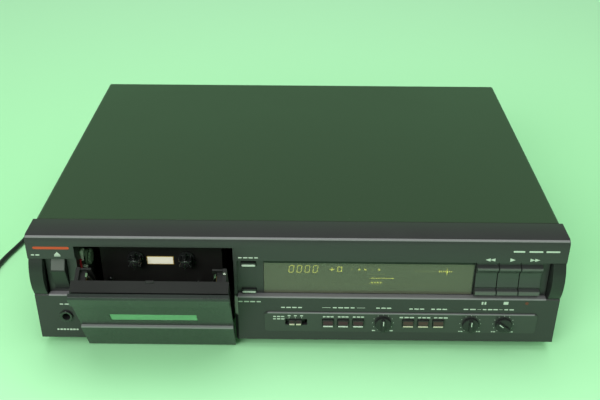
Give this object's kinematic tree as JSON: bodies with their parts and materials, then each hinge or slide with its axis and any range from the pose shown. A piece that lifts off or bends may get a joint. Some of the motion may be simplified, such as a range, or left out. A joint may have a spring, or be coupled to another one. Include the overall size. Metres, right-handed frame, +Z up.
{
  "type": "cassette deck",
  "caption": "Front-loading stereo cassette deck with a tilting cassette door, display, rocker transport keys, level knobs and a mains lead.",
  "frame": {"origin": "centre of the bounding box's footprint, from the open door's front to the rear sockets, on the plane of the feet, without the mains lead", "axes": "+X to the right seen from the front, +Y to the rear, +Z up; the front panel faces -Y"},
  "size_m": [0.579, 0.4364, 0.1103],
  "materials": {
    "fascia_plastic": "fine-textured satin black moulding",
    "cover_paint": "semi-matt black paint on steel",
    "chassis_steel": "zinc-plated steel sheet",
    "rear_paint": "matt black painted steel",
    "smoked_window": "smoked clear acrylic",
    "tube_glass": "display tube glass",
    "board": "lacquered circuit board",
    "bright_steel": "turned and ground steel",
    "brass_part": "turned brass",
    "black_part": "moulded black plastic",
    "white_part": "white acetal moulding",
    "iron_core": "varnished laminations and winding",
    "capacitor_sleeve": "printed sleeve",
    "jack_metal": "plated sockets",
    "rubber_part": "black rubber",
    "black_screw": "blackened screws",
    "door_plastic": "satin-gloss black moulding",
    "holder_plastic": "dark grey moulding",
    "key_plastic": "satin dark grey moulding",
    "flex": "black flexible sheath"
  },
  "bodies": {
    "chassis": {"chassis_pan": "chassis_steel", "top_cover": "cover_paint", "rear_panel": "rear_paint", "fascia": "fascia_plastic", "right_end_cap": "fascia_plastic", "control_strip": "fascia_plastic", "display_window": "smoked_window", "display_tube": "tube_glass", "front_board": "board", "control_pots": "bright_steel", "phones_jack": "black_part", "mechanism_plate": "chassis_steel", "hinge_brackets": "chassis_steel", "damper_housing": "white_part", "main_board": "board", "mains_transformer": "iron_core", "filter_capacitors": "capacitor_sleeve", "power_switch": "black_part", "line_jacks": "jack_metal", "feet": "rubber_part", "case_screws": "black_screw", "capstan_motor": "bright_steel", "drive_belt": "rubber_part", "reel_motor": "bright_steel", "rocker_shaft": "bright_steel", "strain_relief": "black_part", "mains_cord": "flex", "cord_coil": "flex", "cord_tie": "flex", "mains_plug": "black_part"},
    "door": {"door_cover": "door_plastic", "door_window": "smoked_window", "cassette_holder": "holder_plastic", "holder_springs": "bright_steel", "hinge_pin": "bright_steel"},
    "damper": {"damper_gear": "white_part"},
    "capstan": {"flywheel": "bright_steel"},
    "pulley": {"motor_pulley": "brass_part"},
    "head_slide": {"head_base": "chassis_steel", "tape_heads": "bright_steel"},
    "roller": {"pinch_roller": "rubber_part"},
    "left_spindle": {"reel_spindle_left": "black_part"},
    "right_spindle": {"reel_spindle_right": "black_part"},
    "power_key_body": {"power_key": "key_plastic"},
    "eject_key_body": {"eject_key": "key_plastic"},
    "rewind_key_body": {"rewind_key": "key_plastic"},
    "play_key_body": {"play_key": "key_plastic"},
    "forward_key_body": {"forward_key": "key_plastic"},
    "counter_reset_key_body": {"counter_reset_key": "key_plastic"},
    "counter_memory_key_body": {"counter_memory_key": "key_plastic"},
    "timer_slider_body": {"timer_slider": "key_plastic"},
    "tape_key_1_body": {"tape_key_1": "key_plastic"},
    "tape_key_2_body": {"tape_key_2": "key_plastic"},
    "tape_key_3_body": {"tape_key_3": "key_plastic"},
    "filter_key_1_body": {"filter_key_1": "key_plastic"},
    "filter_key_2_body": {"filter_key_2": "key_plastic"},
    "filter_key_3_body": {"filter_key_3": "key_plastic"},
    "output_knob_body": {"output_knob": "key_plastic"},
    "balance_knob_body": {"balance_knob": "key_plastic"},
    "record_level_knob_body": {"record_level_knob": "key_plastic"}
  },
  "joints": [
    {"name": "door_hinge", "type": "hinge", "parent": "chassis", "child": "door", "pos_m": [-0.114, -0.11371, 0.012], "axis": [1, 0, 0], "range_deg": [-27, 0]},
    {"name": "damper_turn", "type": "hinge", "parent": "chassis", "child": "damper", "pos_m": [-0.1748, -0.11073, 0.06892], "axis": [1, 0, 0], "range_deg": [0, 230]},
    {"name": "capstan_turn", "type": "hinge", "parent": "chassis", "child": "capstan", "pos_m": [-0.0844, -0.10471, 0.046], "axis": [0, 1, 0], "continuous": true},
    {"name": "pulley_turn", "type": "hinge", "parent": "chassis", "child": "pulley", "pos_m": [-0.144, -0.10471, 0.039], "axis": [0, 1, 0], "continuous": true},
    {"name": "head_rise", "type": "slide", "parent": "chassis", "child": "head_slide", "axis": [0, 0, 1], "range_m": [0, 0.005], "stiffness_N_per_m": 150},
    {"name": "roller_turn", "type": "hinge", "parent": "head_slide", "child": "roller", "pos_m": [-0.0844, -0.12271, 0.0334], "axis": [0, 1, 0], "continuous": true},
    {"name": "left_spindle_turn", "type": "hinge", "parent": "chassis", "child": "left_spindle", "pos_m": [-0.13525, -0.11971, 0.0714], "axis": [0, 1, 0], "continuous": true},
    {"name": "right_spindle_turn", "type": "hinge", "parent": "chassis", "child": "right_spindle", "pos_m": [-0.09275, -0.11971, 0.0714], "axis": [0, 1, 0], "continuous": true},
    {"name": "power_press", "type": "slide", "parent": "chassis", "child": "power_key_body", "axis": [0, 1, 0], "range_m": [0, 0.0025], "stiffness_N_per_m": 400},
    {"name": "eject_press", "type": "slide", "parent": "chassis", "child": "eject_key_body", "axis": [0, 1, 0], "range_m": [0, 0.0025], "stiffness_N_per_m": 300},
    {"name": "rewind_rock", "type": "hinge", "parent": "chassis", "child": "rewind_key_body", "pos_m": [0.15315, -0.13371, 0.0715], "axis": [1, 0, 0], "range_deg": [-3, 3], "stiffness_Nm_per_rad": 0.4},
    {"name": "play_rock", "type": "hinge", "parent": "chassis", "child": "play_key_body", "pos_m": [0.17085, -0.13371, 0.0715], "axis": [1, 0, 0], "range_deg": [-3, 3], "stiffness_Nm_per_rad": 0.4},
    {"name": "forward_rock", "type": "hinge", "parent": "chassis", "child": "forward_key_body", "pos_m": [0.18855, -0.13371, 0.0715], "axis": [1, 0, 0], "range_deg": [-3, 3], "stiffness_Nm_per_rad": 0.4},
    {"name": "counter_reset_key_press", "type": "slide", "parent": "chassis", "child": "counter_reset_key_body", "axis": [0, 1, 0], "range_m": [0, 0.0015], "stiffness_N_per_m": 250},
    {"name": "counter_memory_key_press", "type": "slide", "parent": "chassis", "child": "counter_memory_key_body", "axis": [0, 1, 0], "range_m": [0, 0.0015], "stiffness_N_per_m": 250},
    {"name": "tape_key_1_press", "type": "slide", "parent": "chassis", "child": "tape_key_1_body", "axis": [0, 1, 0], "range_m": [0, 0.0015], "stiffness_N_per_m": 250},
    {"name": "tape_key_2_press", "type": "slide", "parent": "chassis", "child": "tape_key_2_body", "axis": [0, 1, 0], "range_m": [0, 0.0015], "stiffness_N_per_m": 250},
    {"name": "tape_key_3_press", "type": "slide", "parent": "chassis", "child": "tape_key_3_body", "axis": [0, 1, 0], "range_m": [0, 0.0015], "stiffness_N_per_m": 250},
    {"name": "filter_key_1_press", "type": "slide", "parent": "chassis", "child": "filter_key_1_body", "axis": [0, 1, 0], "range_m": [0, 0.0015], "stiffness_N_per_m": 250},
    {"name": "filter_key_2_press", "type": "slide", "parent": "chassis", "child": "filter_key_2_body", "axis": [0, 1, 0], "range_m": [0, 0.0015], "stiffness_N_per_m": 250},
    {"name": "filter_key_3_press", "type": "slide", "parent": "chassis", "child": "filter_key_3_body", "axis": [0, 1, 0], "range_m": [0, 0.0015], "stiffness_N_per_m": 250},
    {"name": "timer_slide", "type": "slide", "parent": "chassis", "child": "timer_slider_body", "axis": [1, 0, 0], "range_m": [-0.0026, 0.0042]},
    {"name": "output_knob_turn", "type": "hinge", "parent": "chassis", "child": "output_knob_body", "pos_m": [0.0718, -0.14471, 0.0286], "axis": [0, 1, 0], "range_deg": [-150, 150]},
    {"name": "balance_knob_turn", "type": "hinge", "parent": "chassis", "child": "balance_knob_body", "pos_m": [0.1443, -0.14471, 0.0286], "axis": [0, 1, 0], "range_deg": [-150, 150]},
    {"name": "record_level_knob_turn", "type": "hinge", "parent": "chassis", "child": "record_level_knob_body", "pos_m": [0.1716, -0.14471, 0.0286], "axis": [0, 1, 0], "range_deg": [-98, 202]}
  ],
  "couplings": [
    {"joint": "damper_turn", "follows": "door_hinge", "ratio": -8.5},
    {"joint": "pulley_turn", "follows": "capstan_turn", "ratio": 3.7}
  ]
}
